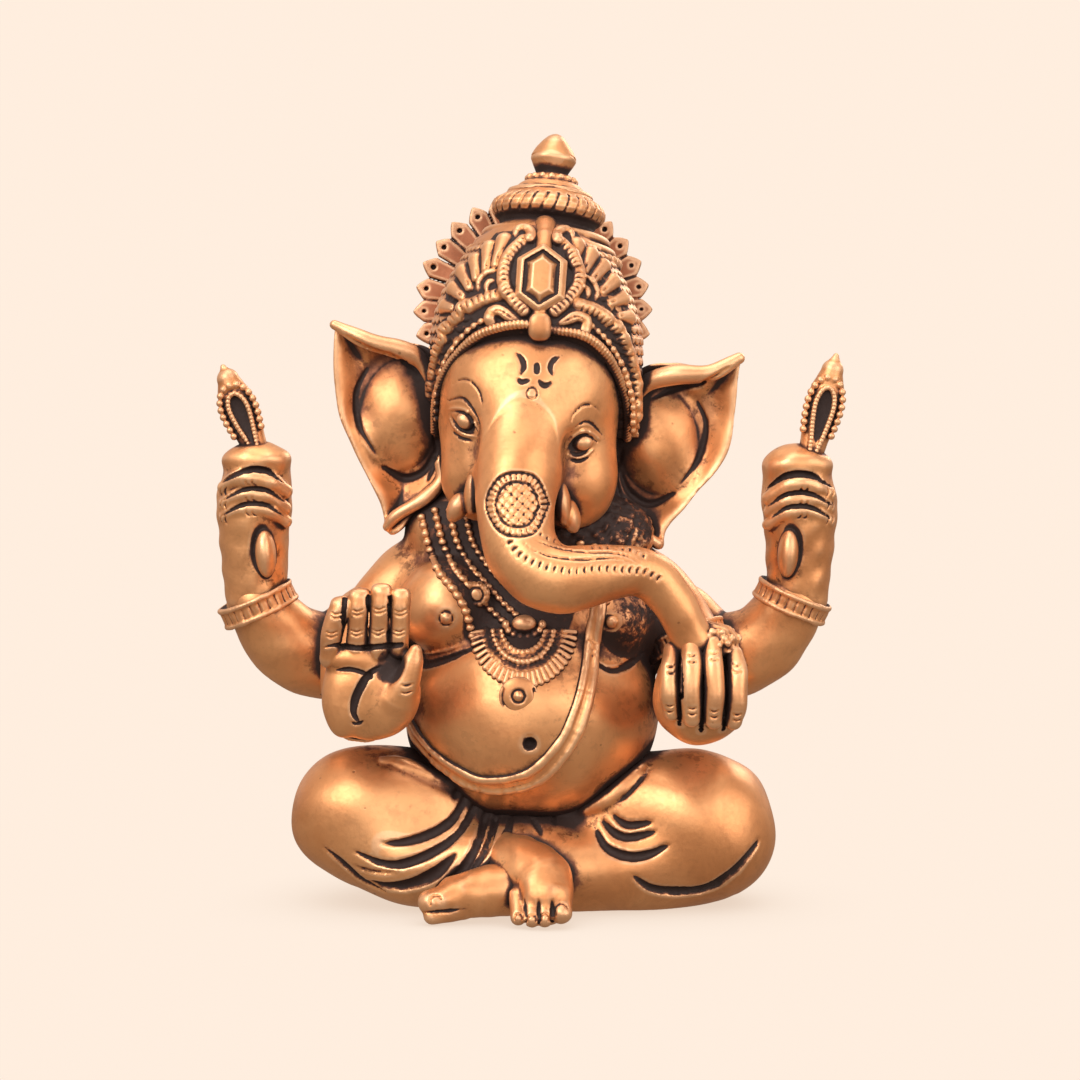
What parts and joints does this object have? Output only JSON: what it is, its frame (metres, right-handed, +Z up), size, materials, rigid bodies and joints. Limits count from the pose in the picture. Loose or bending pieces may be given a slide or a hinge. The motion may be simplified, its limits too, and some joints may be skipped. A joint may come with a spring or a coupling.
{
  "type": "ganesha idol",
  "caption": "Seated four-armed elephant-headed idol in cast and chased brass, on crossed legs, with a rayed disc and spired crown behind and above the head.",
  "frame": {"origin": "centre of the footprint of the whole idol, on the surface it rests on", "axes": "+Z up, -Y is the way the idol faces, +X is the viewer's right (the idol's own left)"},
  "size_m": [0.1874, 0.1072, 0.2275],
  "materials": {
    "polished_brass": "antique copper tone, highs rubbed bright, recesses nearly black",
    "chased_brass": "antique copper tone, chased relief with dark patina between",
    "dark_brass": "dark reddish patina",
    "plug_brass": "as cast"
  },
  "bodies": {
    "root": {"collar": "chased_brass", "core_plug": "plug_brass", "crown": "chased_brass", "crown_band": "chased_brass", "crown_cone": "chased_brass", "crown_finial": "chased_brass", "crown_jewel": "chased_brass", "crown_ring": "chased_brass", "goad": "chased_brass", "halo_disc": "dark_brass", "head": "polished_brass", "left_armlet": "chased_brass", "left_ear": "polished_brass", "left_foot": "polished_brass", "left_front_arm": "polished_brass", "left_front_bangle": "chased_brass", "left_front_hand": "polished_brass", "left_rear_arm": "polished_brass", "left_rear_bangle": "chased_brass", "left_rear_hand": "polished_brass", "left_tusk": "polished_brass", "necklace": "chased_brass", "noose": "chased_brass", "pendant": "chased_brass", "right_armlet": "chased_brass", "right_ear": "polished_brass", "right_foot": "polished_brass", "right_front_arm": "polished_brass", "right_front_bangle": "chased_brass", "right_front_hand": "polished_brass", "right_rear_arm": "polished_brass", "right_rear_bangle": "chased_brass", "right_rear_hand": "polished_brass", "right_tusk": "polished_brass", "sash": "polished_brass", "seat": "polished_brass", "sweet": "chased_brass", "torso": "polished_brass"}
  },
  "joints": []
}
